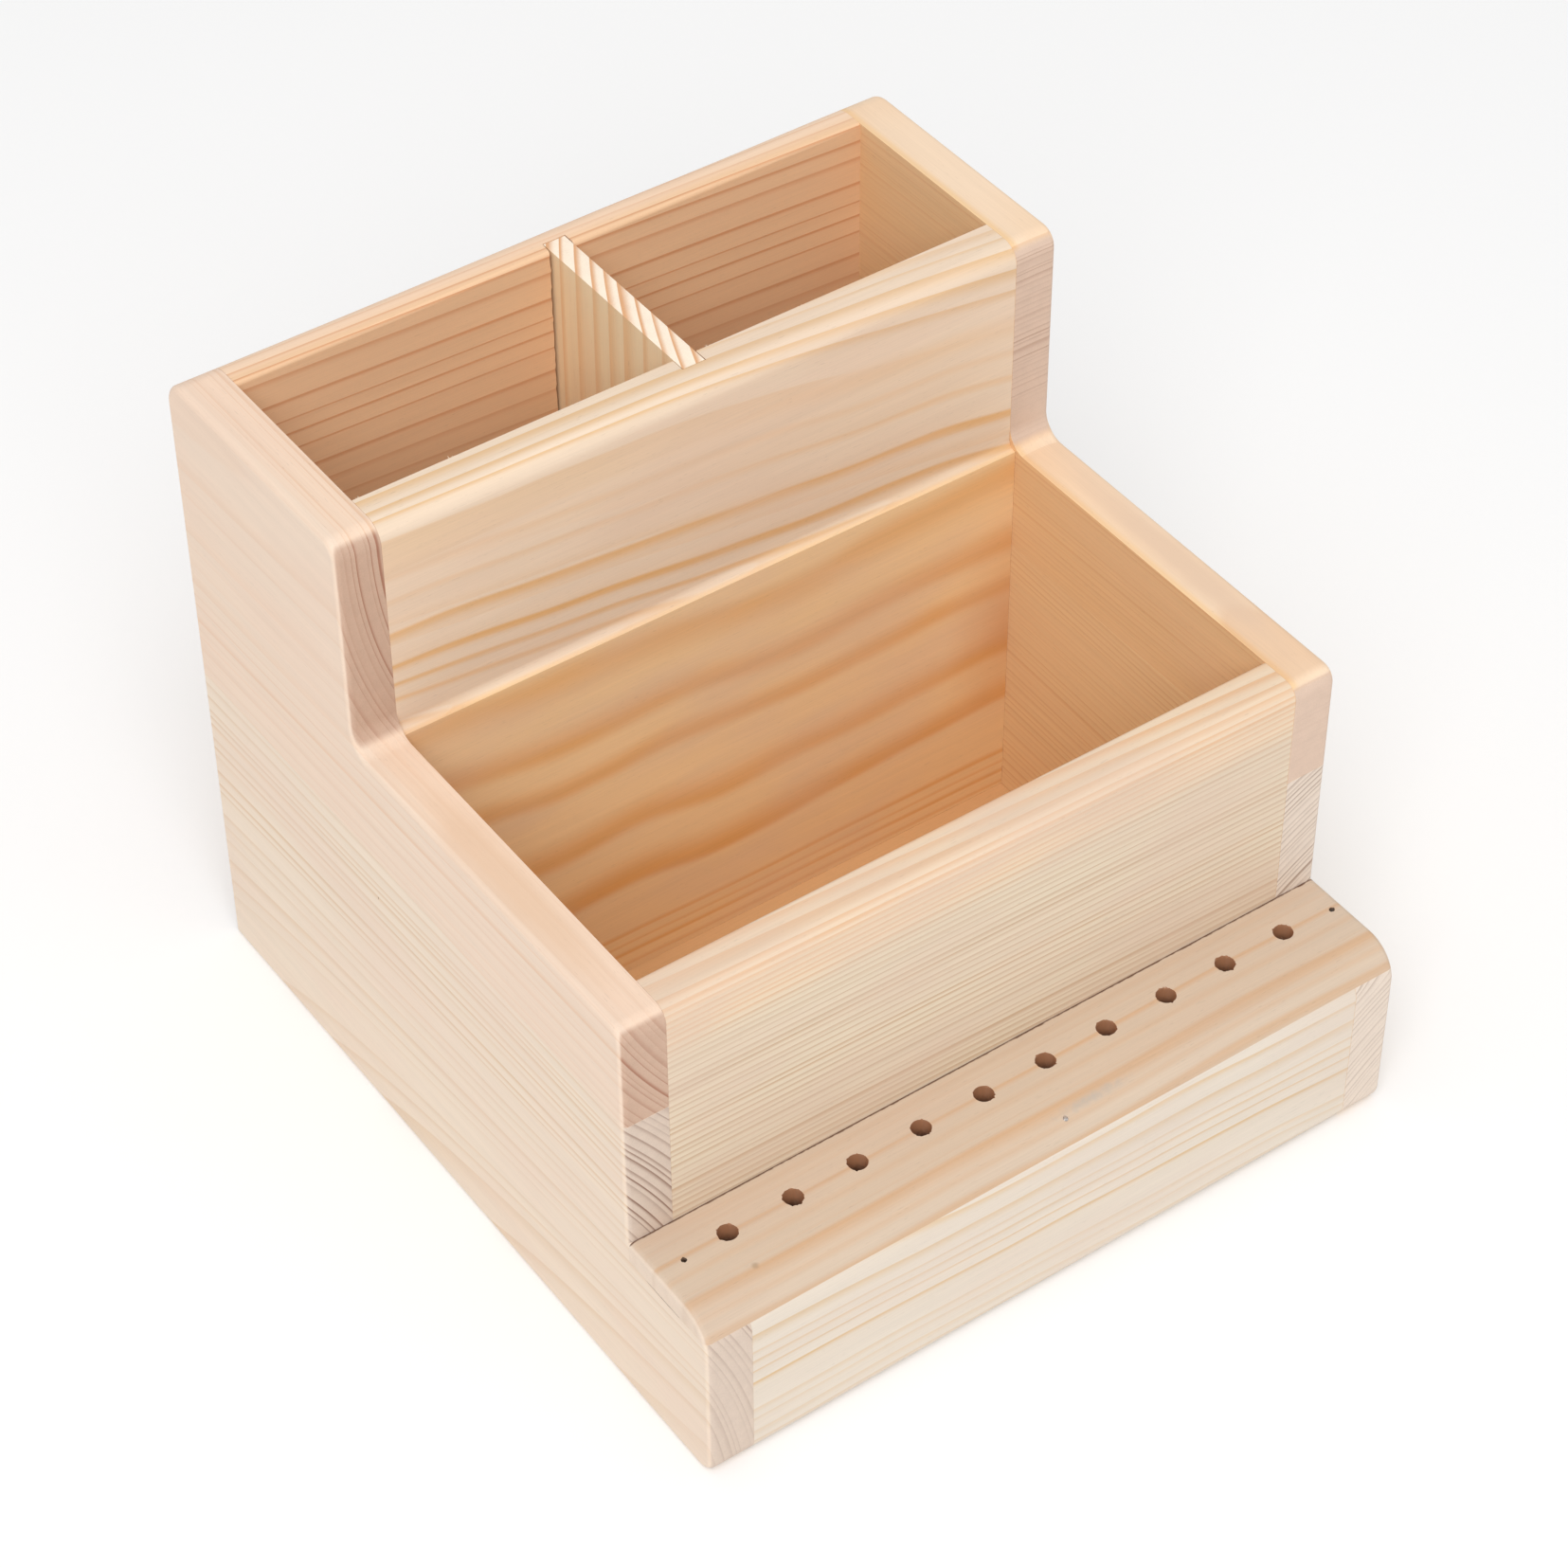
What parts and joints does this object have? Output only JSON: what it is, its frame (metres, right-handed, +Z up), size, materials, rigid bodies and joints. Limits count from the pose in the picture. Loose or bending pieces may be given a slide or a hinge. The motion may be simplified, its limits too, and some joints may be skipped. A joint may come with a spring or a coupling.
{
  "type": "tool storage caddy",
  "caption": "Stepped wooden desk caddy for small hand tools: two tall compartments with a lift-out divider, a bin and a drilled rail in front.",
  "frame": {"origin": "centre of the footprint, on the surface the caddy stands on", "axes": "+X to the right seen from the drilled rail's side, +Y from the rail to the back, +Z up"},
  "size_m": [0.2, 0.215, 0.18],
  "materials": {
    "pine_side": "planed and sanded, unfinished",
    "pine_panel": "planed and sanded, unfinished",
    "pine_rail": "sanded, unfinished",
    "pine_divider": "sanded, unfinished",
    "brad_steel": "dull bright wire, headless"
  },
  "bodies": {
    "caddy": {"left_side_lower_board": "pine_side", "left_side_upper_board": "pine_side", "right_side_lower_board": "pine_side", "right_side_upper_board": "pine_side", "back_board": "pine_panel", "middle_board": "pine_panel", "bin_front_board": "pine_panel", "bottom_board": "pine_panel", "front_apron": "pine_panel", "tool_rail": "pine_rail", "rail_end_brads": "brad_steel", "rail_front_brads": "brad_steel"},
    "loose_divider": {"divider": "pine_divider"}
  },
  "joints": [
    {"name": "divider_lift", "type": "slide", "parent": "caddy", "child": "loose_divider", "axis": [0, 0, 1], "range_m": [0, 0.175]}
  ]
}
